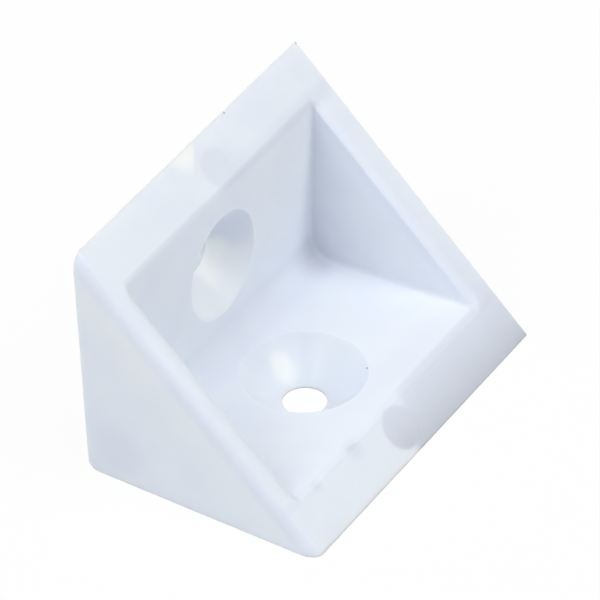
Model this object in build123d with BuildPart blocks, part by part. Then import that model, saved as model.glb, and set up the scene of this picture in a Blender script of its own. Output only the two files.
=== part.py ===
"""Screw-on corner bracket: two plates and two triangular side walls, moulded as one piece.

The frame has +Z up, with the base plate's underside on Z = 0 and the back plate on the -X side.
The origin is the middle of the footprint, and the corner line runs along Y.
"""

import os
from math import isclose, radians, sqrt, tan

from build123d import *

# Driving dimensions, in millimetres and degrees
width = 38.0  # along the corner, at the open rim
leg = 25.0  # outer length of the base plate and of the back plate
plate_thickness = 3.6
wall_thickness = 2.9  # triangular side walls
draft_angle = 2.9  # everything narrows from the rim towards the corner, to leave the mould

corner_radius = 1.1  # outside, where the two mounting faces meet
edge_radius = 0.3  # outside, between the mounting faces and the side walls
near_rim_radius = 1.2  # outside, between the rim and the side wall on -Y; the one on +Y is left sharp
root_radius = 2.2  # inside the pocket, between the two plates
wall_root_radius = 0.5  # inside the pocket, between the plates and the side walls
lip_radius = 1.5  # inner edge of the rim

base_screw_setback = 12.1  # from the outer corner to each screw's axis
back_screw_setback = 12.7
hole_diameter = 4.2  # clears a 4 mm screw
base_countersink_diameter = 12.0
back_countersink_diameter = 11.4
countersink_angle = 100.0
seat_edge_radius = 0.2  # where a countersink meets its plate

mark_depth = 0.06  # round dimples pressed into the rim by the ejector pins
base_mark = (-0.2, 32.1, 2.8)  # along the corner, down the slope from the back plate's tip, radius
back_mark = (1.4, 3.4, 1.8)

# Worked out from them. The rim lies in one plane that slopes at 45 degrees from tip to tip:
# on that plane, x runs along the corner and y runs up the slope.
rim_plane = Plane(origin=(0, 0, leg / 2), x_dir=(0, 1, 0), z_dir=(1, 0, 1))
half_slope = leg / sqrt(2)
down_the_slope = Plane(origin=rim_plane.origin, x_dir=(0, 1, 0), z_dir=(1, 0, -1))
corner_x = -leg / 2
root_x = corner_x + plate_thickness
overshoot = 4.0  # how far the pocket's core stands out past the rim, to cut clean through it
core_leg = leg - 2 * plate_thickness + overshoot


def beside_a_wall(edge):
    """True for an edge near either end of the bracket, where the side walls are."""
    return abs(edge.center().Y) > width / 4


# The pocket's core: a wedge with the inside fillets on it, taken out of the block below
with BuildPart() as core:
    with BuildSketch(Plane.XZ):
        with BuildLine():
            Polyline(
                (root_x, plate_thickness),
                (root_x + core_leg, plate_thickness),
                (root_x, plate_thickness + core_leg),
                close=True,
            )
        make_face()
    extrude(amount=width / 2 - wall_thickness, both=True)
    draft(core.faces().filter_by(Axis.Y), neutral_plane=rim_plane, angle=-draft_angle)
    fillet(core.edges().sort_by_distance((root_x, 0, plate_thickness))[0], radius=root_radius)
    plate_faces = core.faces().filter_by(Axis.X) + core.faces().filter_by(Axis.Z)
    fillet(plate_faces.edges().filter_by(beside_a_wall), radius=wall_root_radius)

with BuildPart() as bracket:
    # Outer block: a right-angled wedge with drafted sides
    with BuildSketch(Plane.XZ):
        with BuildLine():
            Polyline((corner_x, 0), (corner_x + leg, 0), (corner_x, leg), close=True)
        make_face()
    extrude(amount=width / 2, both=True)
    draft(bracket.faces().filter_by(Axis.Y), neutral_plane=rim_plane, angle=-draft_angle)

    # Outside edges. The rim's own outline stays sharp, as the mould parts there.
    fillet(bracket.edges().sort_by_distance((corner_x, 0, 0))[0], radius=corner_radius)
    mounting_faces = bracket.faces().filter_by(Axis.X) + bracket.faces().filter_by(Axis.Z)
    fillet(mounting_faces.edges().filter_by(beside_a_wall), radius=edge_radius)

    # The rim's edge along the wall on -Y is rounded from tip to tip. This cuts the round's outside away.
    with BuildSketch(down_the_slope) as outside:
        with BuildLine():
            Polyline(
                (-width / 2, 0),
                (-width / 2 + overshoot, 0),
                (-width / 2 + overshoot, overshoot),
                (-width / 2 - overshoot, overshoot),
                (-width / 2 - overshoot, -overshoot),
                (-width / 2 + overshoot * tan(radians(draft_angle)), -overshoot),
                close=True,
            )
        make_face()
        fillet(outside.vertices().sort_by_distance((-width / 2, 0))[0], radius=near_rim_radius)
    extrude(amount=leg, both=True, mode=Mode.SUBTRACT)

    # Pocket, with its rim eased on the inside
    add(core.part, mode=Mode.SUBTRACT)
    rim = bracket.faces().sort_by(Axis(rim_plane.origin, rim_plane.z_dir))[-1]
    fillet(rim.inner_wires().edges(), radius=lip_radius)

    # One countersunk screw hole through each plate, the head let into the pocket side
    base_seat = Plane(origin=(corner_x + base_screw_setback, 0, plate_thickness))
    back_seat = Plane(origin=(root_x, 0, back_screw_setback), x_dir=(0, 1, 0), z_dir=(1, 0, 0))
    for seat, diameter in (
        (base_seat, base_countersink_diameter),
        (back_seat, back_countersink_diameter),
    ):
        with Locations(seat):
            CounterSinkHole(
                radius=hole_diameter / 2,
                counter_sink_radius=diameter / 2,
                depth=2 * plate_thickness,
                counter_sink_angle=countersink_angle,
            )
        circles = bracket.edges().filter_by(GeomType.CIRCLE)
        seat_edge = circles.filter_by(lambda edge: isclose(2 * edge.radius, diameter, abs_tol=1e-4))
        fillet(seat_edge, radius=seat_edge_radius)

    # Ejector marks on the rim of each plate
    for along, down, radius in (base_mark, back_mark):
        with Locations(rim_plane * Location((along, half_slope - down, 0))):
            Cylinder(radius=radius, height=2 * mark_depth, mode=Mode.SUBTRACT)

bracket.part.label = "bracket"

os.makedirs("parts", exist_ok=True)
export_step(bracket.part, "parts/bracket.step")
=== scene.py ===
"""White plastic corner bracket: one injection-moulded piece, with a screw hole in each plate."""

import math

import bmesh
import bpy
from mathutils import Matrix, Vector


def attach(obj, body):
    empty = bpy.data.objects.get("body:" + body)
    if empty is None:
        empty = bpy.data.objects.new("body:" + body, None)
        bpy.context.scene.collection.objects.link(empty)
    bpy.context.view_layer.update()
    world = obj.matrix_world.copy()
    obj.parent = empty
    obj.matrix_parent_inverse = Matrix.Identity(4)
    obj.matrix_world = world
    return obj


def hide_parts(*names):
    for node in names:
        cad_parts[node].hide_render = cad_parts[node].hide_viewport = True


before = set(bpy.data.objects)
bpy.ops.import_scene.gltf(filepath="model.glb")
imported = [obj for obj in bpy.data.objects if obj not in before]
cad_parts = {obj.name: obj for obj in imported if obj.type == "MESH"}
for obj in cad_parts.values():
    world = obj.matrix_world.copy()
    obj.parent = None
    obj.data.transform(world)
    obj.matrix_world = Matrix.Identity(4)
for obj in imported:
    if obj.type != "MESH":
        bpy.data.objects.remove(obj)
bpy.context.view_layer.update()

# ---- View. The bracket stands on its base plate and is seen from its open side and from above,
# through a long lens, so that its edges stay nearly parallel.
azimuth, elevation, roll = math.radians(32.4274), math.radians(37.9649), math.radians(-1.4906)
distance, shift_left, shift_down = 0.581579, 0.000878, 0.000494
aim = Vector((0.00042, 0.0, 0.01292))
backward = Vector((math.sin(azimuth) * math.cos(elevation), -math.cos(azimuth) * math.cos(elevation),
                   math.sin(elevation)))
level = Vector((math.cos(azimuth), math.sin(azimuth), 0.0))
upright = backward.cross(level)
across = level * math.cos(roll) + upright * math.sin(roll)
above = upright * math.cos(roll) - level * math.sin(roll)
stand = aim + backward * distance - across * shift_left - above * shift_down
camera_data = bpy.data.cameras.new("camera")
camera_data.lens = 382.43
camera_data.sensor_width = 36.0
camera_data.clip_start = 0.05
camera_data.clip_end = 20.0
camera = bpy.data.objects.new("camera", camera_data)
camera.matrix_world = Matrix.Translation(stand) @ Matrix((across, above, backward)).transposed().to_4x4()
bpy.context.scene.collection.objects.link(camera)
bpy.context.scene.camera = camera
bpy.context.scene.view_settings.view_transform = "Standard"

# ---- Light. A white tent with round softboxes: strong ones overhead on the right and on the left
# of the open side, a small one low on the right, and weak ones all round that lift the shade.
world = bpy.data.worlds.new("tent")
bpy.context.scene.world = world
world.use_nodes = True
world.node_tree.nodes["Background"].inputs["Color"].default_value = (1.0, 1.0, 1.0, 1.0)
world.node_tree.nodes["Background"].inputs["Strength"].default_value = 0.1
softbox_distance = 0.6
lit_point = Vector((0.0, 0.0, 0.01))
for name, bearing, height, size, power in (
    ("overhead_right", 0.0, 62.0, 0.45, 1.64),
    ("left", 247.5, 38.0, 0.45, 1.295),
    ("overhead_left", 240.0, 62.0, 0.45, 0.80),
    ("low_left", 262.0, 12.0, 0.45, 0.18),
    ("low_right", 18.0, 23.0, 0.2, 0.5),
    ("far", 112.5, 38.0, 0.45, 0.14),
    ("far_right", 67.5, 38.0, 0.45, 0.13),
    ("right", 22.5, 38.0, 0.45, 0.12),
    ("overhead_far", 60.0, 62.0, 0.45, 0.115),
    ("overhead_front", 300.0, 62.0, 0.45, 0.105),
):
    towards = Vector((math.cos(math.radians(height)) * math.cos(math.radians(bearing)),
                      math.cos(math.radians(height)) * math.sin(math.radians(bearing)),
                      math.sin(math.radians(height))))
    lamp_data = bpy.data.lights.new(name, "AREA")
    lamp_data.shape = "DISK"
    lamp_data.size = size
    lamp_data.energy = power
    lamp = bpy.data.objects.new(name, lamp_data)
    lamp.location = lit_point + towards * softbox_distance
    lamp.rotation_euler = towards.to_track_quat("Z", "Y").to_euler()
    bpy.context.scene.collection.objects.link(lamp)

# ---- Floor. A sheet of matt white paper that lies flat under the bracket. The camera sees it as
# nearly plain white, with only a faint shadow, and gloss and glass see it as plain white.
floor_mesh = bpy.data.meshes.new("floor")
sheet = bmesh.new()
bmesh.ops.create_grid(sheet, x_segments=1, y_segments=1, size=0.6)
sheet.to_mesh(floor_mesh)
sheet.free()
floor = bpy.data.objects.new("floor", floor_mesh)
bpy.context.scene.collection.objects.link(floor)


class Signal:
    """A socket in a material's node tree. Arithmetic on it adds Math nodes."""

    def __init__(self, tree, socket):
        self.tree, self.socket = tree, socket

    def node(self, kind, settings=None, inputs=None, output=0):
        made = self.tree.nodes.new(kind)
        for name, value in (settings or {}).items():
            setattr(made, name, value)
        for name, value in (inputs or {}).items():
            if isinstance(value, Signal):
                self.tree.links.new(value.socket, made.inputs[name])
            else:
                made.inputs[name].default_value = value
        return Signal(self.tree, made.outputs[output])

    def combine(self, operation, first, second):
        return self.node("ShaderNodeMath", {"operation": operation}, {0: first, 1: second})

    def __add__(self, other):
        return self.combine("ADD", self, other)

    __radd__ = __add__

    def __sub__(self, other):
        return self.combine("SUBTRACT", self, other)

    def __rsub__(self, other):
        return self.combine("SUBTRACT", other, self)

    def __mul__(self, other):
        return self.combine("MULTIPLY", self, other)

    __rmul__ = __mul__

    def __pow__(self, other):
        return self.combine("POWER", self, other)

    def fade(self, clear, full):
        """1 where the value has reached full, 0 where it is still clear, and smooth between."""
        return self.node("ShaderNodeMapRange", {"interpolation_type": "SMOOTHSTEP"},
                         {"Value": self, "From Min": clear, "From Max": full})

    def mixed_into(self, colour, tint):
        return self.node("ShaderNodeMix", {"data_type": "RGBA"}, {0: self, 6: colour, 7: tint}, output=2)


floor_material = bpy.data.materials.new("floor")
floor_material.use_nodes = True
tree = floor_material.node_tree
paper = tree.nodes["Principled BSDF"]
paper.inputs["Base Color"].default_value = (0.85, 0.87, 0.90, 1.0)
paper.inputs["Roughness"].default_value = 0.9
path = tree.nodes.new("ShaderNodeLightPath")
camera_ray, gloss_ray, glass_ray = (Signal(tree, path.outputs[f"Is {kind} Ray"])
                                    for kind in ("Camera", "Glossy", "Transmission"))
glow_share = 0.95
seen = camera_ray * glow_share + gloss_ray.combine("MAXIMUM", gloss_ray, glass_ray)
glow = seen.node("ShaderNodeEmission", inputs={"Strength": 1.0})
surface = seen.node("ShaderNodeMixShader", inputs={0: seen, 1: Signal(tree, paper.outputs[0]), 2: glow})
tree.links.new(surface.socket, tree.nodes["Material Output"].inputs["Surface"])
floor_mesh.materials.append(floor_material)

# ---- Bracket. One white moulding: two plates and two side walls round a pocket that is open
# towards the sloping rim. It comes out of the mould along the rim's normal, so both walls lean.
# Countersunk screws hold it, one through each plate.
mm = 0.001
width, leg, plate, wall = 38.0 * mm, 25.0 * mm, 3.6 * mm, 2.9 * mm
draft = math.tan(math.radians(2.9))
heel = -leg / 2
tiny = 0.002 * mm


def depth(point):
    """How deep a point lies under the plane of the sloping rim."""
    return (leg / 2 - point.x - point.z) / math.sqrt(2)


def drafted_wedge(corners, half):
    """A block on an outline across Y that is narrower the deeper it lies under the rim."""
    shape = bmesh.new()
    flat = shape.faces.new([shape.verts.new((x, -half, z)) for x, z in corners])
    sweep = bmesh.ops.extrude_face_region(shape, geom=[flat])
    far = [v for v in sweep["geom"] if isinstance(v, bmesh.types.BMVert)]
    bmesh.ops.translate(shape, verts=far, vec=(0, 2 * half, 0))
    for v in shape.verts:
        v.co.y *= 1 - depth(v.co) * draft / half
    bmesh.ops.recalc_face_normals(shape, faces=shape.faces)
    return shape


def soften(shape, edges, setback, segments):
    bmesh.ops.bevel(shape, geom=edges, offset=setback, offset_type="OFFSET", segments=segments, profile=0.5,
                    affect="EDGES", clamp_overlap=False, loop_slide=True, material=-1)


def edges_between(shape, test):
    return [e for e in shape.edges if all(test(v.co) for v in e.verts)]


def hard_edges(shape):
    return [e for e in shape.edges if e.calc_face_angle() > math.radians(30)]


def as_object(shape, name):
    mesh = bpy.data.meshes.new(name)
    shape.to_mesh(mesh)
    shape.free()
    made = bpy.data.objects.new(name, mesh)
    bpy.context.scene.collection.objects.link(made)
    return made


def carve(body, cutters):
    for cutter in cutters:
        cut = body.modifiers.new(cutter.name, "BOOLEAN")
        cut.operation = "DIFFERENCE"
        cut.solver = "EXACT"
        cut.object = cutter
    bpy.context.view_layer.update()
    body.data = bpy.data.meshes.new_from_object(body.evaluated_get(bpy.context.evaluated_depsgraph_get()))
    body.modifiers.clear()
    for cutter in cutters:
        bpy.data.objects.remove(cutter)


# the wedge: its edge along the -Y rim and its outer corner are rounded, its other edges only eased
near_rim_radius, heel_radius, crisp_setback = 1.2 * mm, 1.1 * mm, 0.14 * mm
block = drafted_wedge([(heel, 0.0), (heel, leg), (leg / 2, 0.0)], width / 2)
near_rim = edges_between(block, lambda p: abs(depth(p)) < tiny and p.y < 0)
near_rim_turn = near_rim[0].calc_face_angle()
soften(block, near_rim, near_rim_radius * math.tan(near_rim_turn / 2), 9)
soften(block, edges_between(block, lambda p: abs(p.x - heel) < tiny and abs(p.z) < tiny), heel_radius, 8)
soften(block, hard_edges(block), crisp_setback, 3)
body = as_object(block, "corner_bracket")

# the pocket: its core runs on past the rim, and is rounded where the plates and walls meet
root_radius, wall_root_radius, past_rim = 2.2 * mm, 0.4 * mm, 4.0 * mm
root_x, reach = heel + plate, leg - 2 * plate + past_rim
core = drafted_wedge([(root_x, plate), (root_x, plate + reach), (root_x + reach, plate)], width / 2 - wall)
root = edges_between(core, lambda p: abs(p.x - root_x) < tiny and abs(p.z - plate) < tiny)
soften(core, root, root_radius, 10)
core_ends = [f for f in core.faces if abs(f.normal.y) > 0.9]
wall_roots = [e for f in core_ends for e in f.edges if not all(depth(v.co) < -tiny for v in e.verts)]
soften(core, wall_roots, wall_root_radius, 5)
carve(body, [as_object(core, "core")])

# the pocket's lip is small along the plates and wide along the walls, and changes over in the corners
plate_lip, wall_lip = 0.32 * mm, 1.42 * mm
lipped = bmesh.new()
lipped.from_mesh(body.data)
share = lipped.edges.layers.float.new("bevel_weight_edge")
mouth = width / 2 - wall + tiny
lip = [e for e in edges_between(lipped, lambda p: abs(depth(p)) < tiny and abs(p.y) < mouth
                                and root_x - tiny < p.x < leg / 2 - plate + tiny)
       if e.calc_face_angle() > math.radians(20)]
angles = [e.calc_face_angle() for e in lip]
for e, angle in zip(lip, angles):
    wallward = ((angle - min(angles)) / (max(angles) - min(angles))) ** 2
    e[share] = (plate_lip + (wall_lip - plate_lip) * wallward) / wall_lip
lipped.to_mesh(body.data)
lipped.free()
ease = body.modifiers.new("lip", "BEVEL")
ease.limit_method = "WEIGHT"
ease.width = wall_lip
ease.segments = 8
ease.use_clamp_overlap = False

# a screw hole in each plate, with a conical seat for the screw's head and a softened edge round it
base_hole_x, back_hole_z = heel + 12.1 * mm, 12.7 * mm
seat_round, past_foot = 0.12 * mm, 1.0 * mm
arc_steps, last_lean = 6, 3.0
lid_overhang, lid_bottom, lid_top = 0.15 * mm, plate + 0.01 * mm, plate + 0.4 * mm
cutters = []
for name, seat_radius, hole_radius, half_angle, foot, swing in (
    ("base_seat", 6.0 * mm, 2.1 * mm, 48.1, (base_hole_x, 0, 0), 0.0),
    ("back_seat", 5.42 * mm, 2.0 * mm, 45.6, (heel, 0, back_hole_z), math.pi / 2),
):
    # half of the cutter's outline, from its axis outwards: hole, cone, rounded edge, lid
    straight = plate - (seat_radius - hole_radius) / math.tan(math.radians(half_angle))
    bend = 90.0 - half_angle
    cut = seat_round * math.tan(math.radians(bend / 2))
    start_r = seat_radius - cut * math.cos(math.radians(bend))
    start_z = plate - cut * math.sin(math.radians(bend))
    centre_r = start_r + seat_round * math.sin(math.radians(bend))
    centre_z = start_z - seat_round * math.cos(math.radians(bend))
    outline = [(0.0, -past_foot), (hole_radius, -past_foot), (hole_radius, straight)]
    for i in range(arc_steps + 1):
        lean = math.radians(bend - (bend - last_lean) * i / arc_steps)
        outline.append((centre_r - seat_round * math.sin(lean), centre_z + seat_round * math.cos(lean)))
    lid_r = outline[-1][0] + lid_overhang
    outline += [(lid_r, lid_bottom), (lid_r, lid_top), (0.0, lid_top)]
    seat = bmesh.new()
    verts = [seat.verts.new((r, 0.0, z)) for r, z in outline]
    edges = [seat.edges.new(pair) for pair in zip(verts, verts[1:])]
    bmesh.ops.spin(seat, geom=verts + edges, axis=(0, 0, 1), cent=(0, 0, 0), angle=math.tau, steps=128,
                   use_merge=True)
    bmesh.ops.remove_doubles(seat, verts=seat.verts, dist=1e-7)
    bmesh.ops.recalc_face_normals(seat, faces=seat.faces)
    bmesh.ops.rotate(seat, verts=seat.verts, cent=(0, 0, 0), matrix=Matrix.Rotation(swing, 3, "Y"))
    bmesh.ops.translate(seat, verts=seat.verts, vec=foot)
    cutters.append(as_object(seat, name))

# ejector pins left a shallow round mark on the rim of each plate: its place along Y, its place down
# the slope from the upper edge, and its radius, in mm
mark_depth = 0.03 * mm
base_mark = (-0.85, 32.5, 2.12)
back_mark = (1.4, 3.4, 1.8)
for name, (along, down, radius) in (("base_mark", base_mark), ("back_mark", back_mark)):
    pin = bmesh.new()
    bmesh.ops.create_cone(pin, cap_ends=True, segments=96, radius1=radius * mm, radius2=radius * mm,
                          depth=2 * mark_depth)
    bmesh.ops.rotate(pin, verts=pin.verts, cent=(0, 0, 0), matrix=Matrix.Rotation(math.pi / 4, 3, "Y"))
    step = down * mm / math.sqrt(2)
    bmesh.ops.translate(pin, verts=pin.verts, vec=(heel + step, along * mm, leg - step))
    cutters.append(as_object(pin, name))

# a knock on the base plate's lip, and a ragged spot nearer the -Y wall, placed in mm
for name, at, half_length, half_depth in (
    ("nick", (8.98, -7.05, 3.56), 0.75 * mm, 0.17 * mm),
    ("ragged_spot", (8.98, -13.3, 3.58), 0.3 * mm, 0.16 * mm),
):
    dent = bmesh.new()
    bmesh.ops.create_uvsphere(dent, u_segments=24, v_segments=12, radius=1.0)
    bmesh.ops.scale(dent, verts=dent.verts, vec=(half_depth, half_length, half_depth))
    bmesh.ops.translate(dent, verts=dent.verts, vec=Vector(at) * mm)
    cutters.append(as_object(dent, name))
carve(body, cutters)
finished = body.data
for polygon in finished.polygons:
    polygon.use_smooth = True
finished.set_sharp_from_angle(angle=math.radians(30.0))
even = body.modifiers.new("even_shading", "WEIGHTED_NORMAL")
even.keep_sharp = True
even.weight = 100

# milky plastic that light enters a little way, with every place in its nodes in mm: down_slope runs
# down the rim from its upper edge, under_rim runs into the plastic, and inside leaves out the outer faces
plastic = bpy.data.materials.new("white_plastic")
plastic.use_nodes = True
skin = plastic.node_tree.nodes["Principled BSDF"]
skin.inputs["IOR"].default_value = 1.5
skin.inputs["Specular IOR Level"].default_value = 0.4
skin.inputs["Subsurface Weight"].default_value = 1.0
skin.inputs["Subsurface Radius"].default_value = (1.0, 1.0, 1.0)
skin.inputs["Subsurface Scale"].default_value = 0.5 * mm
coordinates = plastic.node_tree.nodes.new("ShaderNodeTexCoord")
place = Signal(plastic.node_tree, coordinates.outputs["Object"])
place = place.node("ShaderNodeVectorMath", {"operation": "SCALE"}, {0: place, "Scale": 1 / mm})
x, y, z = (place.node("ShaderNodeSeparateXYZ", inputs={0: place}, output=axis) for axis in (0, 1, 2))
down_slope = (x - z + (leg - heel) / mm) * math.sqrt(0.5)
under_rim = (leg / 2 / mm - x - z) * math.sqrt(0.5)
on_rim = under_rim.fade(0.6, 0.4)
inside = x.fade(-12.49, -12.4) * z.fade(0.01, 0.06)


def noise(scale, detail, roughness=0.5):
    return place.node("ShaderNodeTexNoise", inputs={"Vector": place, "Scale": scale, "Detail": detail,
                                                     "Roughness": roughness})


def round_mark(along, down, radius, blur, stretch=1.0):
    away = (((y - along) * stretch) ** 2 + (down_slope - down) ** 2) ** 0.5
    return away.fade(radius + blur, radius - blur) * on_rim


def near(spot, clear, full):
    away = place.node("ShaderNodeVectorMath", {"operation": "DISTANCE"}, {0: place, 1: spot}, output=1)
    return away.fade(clear, full)


def from_line(first, second, first_place, second_place=0.0):
    """The distance in mm from a line that is square to both of the directions given."""
    return ((first - first_place / mm) ** 2 + (second - second_place / mm) ** 2) ** 0.5


# the resin is faintly clouded
cloud = noise(0.22, 2.0)
grain = noise(2.6, 4.0, 0.65)
colour = cloud.fade(0.35, 0.65).mixed_into((0.795, 0.84, 0.925, 1.0), (0.81, 0.855, 0.94, 1.0))

# the seats come off smooth core pins, and each seat has a painted highlight where its cone catches light
from_base_hole = from_line(x, y, base_hole_x)
from_back_hole = from_line(z, y, back_hole_z)
in_base_seat = from_base_hole.fade(5.95, 5.2) * z.fade(3.58, 3.45) * inside
in_back_seat = from_back_hole.fade(5.5, 5.0) * x.fade(-8.88, -8.98) * inside
in_back_hole = from_back_hole.fade(2.1, 2.05) * x.fade(-11.9, -12.0)
# painted light: the lower part of the back seat is paler
low_in_back_seat = in_back_seat * z.fade(12.9, 11.0)
colour = (low_in_back_seat * 0.8).mixed_into(colour, (0.86, 0.895, 1.0, 1.0))
# painted highlights: a pale streak in the base seat and a pale spot in the back seat
base_seat_painted_highlight = near((-3.3, 1.35, 1.3), 1.8, 0.2) + near((-4.2, 1.85, 2.1), 1.5, 0.2)
back_seat_painted_highlight = near((-11.5, 1.0, 10.3), 2.3, 0.4) + near((-11.4, 2.4, 12.1), 1.9, 0.6)
seat_painted_highlights = base_seat_painted_highlight + back_seat_painted_highlight
seat_painted_highlights = seat_painted_highlights.combine("MINIMUM", seat_painted_highlights, 1.0) * inside
colour = (seat_painted_highlights * 0.75).mixed_into(colour, (0.91, 0.95, 1.0, 1.0))
# painted shade: the back hole's wall is darkened
colour = (in_back_hole * 0.35).mixed_into(colour, (0.30, 0.31, 0.33, 1.0))

# the ejector marks are dull, and the sheen they lose is painted in as grey, which is painted shade:
# the upper one's grey spreads past it, and the lower one has a darker painted patch
base_pin = round_mark(*base_mark, 0.25)
back_pin = round_mark(*back_mark, 0.3)
spread = round_mark(2.6, 4.6, 2.1, 1.5)
back_pin = 1.0 - (1.0 - back_pin) * (1.0 - spread * 0.9)
lower_mark_painted_shade = round_mark(-1.0, 33.4, 1.0, 0.95, 1.3)
colour = (base_pin * 0.1).mixed_into(colour, (0.70, 0.735, 0.80, 1.0))
colour = (back_pin * 0.42).mixed_into(colour, (0.70, 0.735, 0.80, 1.0))
colour = (lower_mark_painted_shade * 0.1).mixed_into(colour, (0.60, 0.63, 0.69, 1.0))

# painted shade: the lower rim is darker from its mark to the +Y tip, most of all along the outer edge
black = (0.0, 0.0, 0.0, 1.0)
slope_length = 35.36
border = y + (down_slope - 35.0) * 0.5
lower_rim_painted_shade = (1.0 - (1.0 - border.fade(-1.6, 0.1)) * (1.0 - base_pin)) * on_rim
to_edge = slope_length - down_slope
lower_rim_painted_shade = lower_rim_painted_shade * to_edge.node("ShaderNodeMath", {"operation": "EXPONENT"}, {0: to_edge * -0.25})
colour = (lower_rim_painted_shade * 0.3).mixed_into(colour, black)

# painted shade: the rounded edges and lips are darkened, and so are the pocket's root and far corner
beside_pocket = down_slope.fade(5.5, 8.0) * down_slope.fade(30.0, 27.5)
near_edge = from_line(y, under_rim, -width / 2)
far_lip = from_line(y, under_rim, width / 2 - wall)
base_root = from_line(x, z, root_x, plate)
base_lip = from_line(x, z, leg / 2 - plate, plate)
back_lip = from_line(x, z, root_x, leg - plate)
far_corner = near((-8.6, 14.6, 3.8), 3.8, 0.4) * y.fade(15.4, 14.9)
along_knock = (y + 7.05) * 0.25
knock = (along_knock ** 2 + (x - 9.05) ** 2 + (z - 3.45) ** 2) ** 0.5
round_knock = near((9.25, -7.1, 3.25), 1.6, 0.3)
round_ragged_spot = near((9.1, -13.3, 3.5), 0.9, 0.2)
for darkening, strength in (
    (near_edge.fade(1.5, 0.5), 0.085),
    (far_lip.fade(1.9, 0.7) * beside_pocket, 0.04),
    (base_root.fade(3.8, 1.0), 0.05),
    (far_corner, 0.12),
    # painted contact shadow along the foot
    (z.fade(0.2, 0.05), 0.18),
    (base_lip.fade(0.6, 0.2), 0.025),
    (back_lip.fade(1.6, 0.1) * y.fade(1.0, 7.0), 0.06),
    # the knock and the ragged spot are darker in and round them
    (knock.fade(0.26, 0.1), 0.08),
    (round_knock, 0.05),
    (round_ragged_spot, 0.06),
):
    colour = (darkening * strength).mixed_into(colour, black)

# the -Y wall's outer face is paler towards the rim, where light comes through from the other side
translucent = under_rim.fade(7.0, 1.5) * near_edge.fade(0.8, 1.9) * y.fade(-17.9, -18.3)
colour = (translucent * 0.5).mixed_into(colour, (0.86, 0.90, 0.97, 1.0))

# a painted highlight beside the upper mark, cut off short on one side
upper_mark_painted_highlight = round_mark(-0.9, 0.4, 1.45, 1.1) * (y * 0.654 + down_slope * 0.756).fade(0.98, 0.84)
colour = upper_mark_painted_highlight.mixed_into(colour, (0.93, 0.965, 1.0, 1.0))

# grit moulded into the surface
for at, radius in (
    ((-12.32, 6.25, 24.82), 0.11),
    ((4.28, 3.49, 3.47), 0.14),
    ((-12.36, 18.92, 24.86), 0.16),
):
    colour = near(at, radius, radius * 0.4).mixed_into(colour, (0.16, 0.15, 0.14, 1.0))

# satin all over, smoother in the seats, with a very shallow unevenness from the mould
roughness = 0.54 + cloud * 0.05 + grain * 0.04 + base_pin * 0.1 - (in_base_seat + in_back_seat) * 0.25
relief = cloud * 0.005 + grain * 0.0006
bump = relief.node("ShaderNodeBump", inputs={"Height": relief, "Strength": 1.0, "Distance": mm})
for socket, value in (("Base Color", colour), ("Roughness", roughness), ("Normal", bump)):
    plastic.node_tree.links.new(value.socket, skin.inputs[socket])
body.data.materials.clear()
body.data.materials.append(plastic)
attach(body, "root")
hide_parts("bracket")
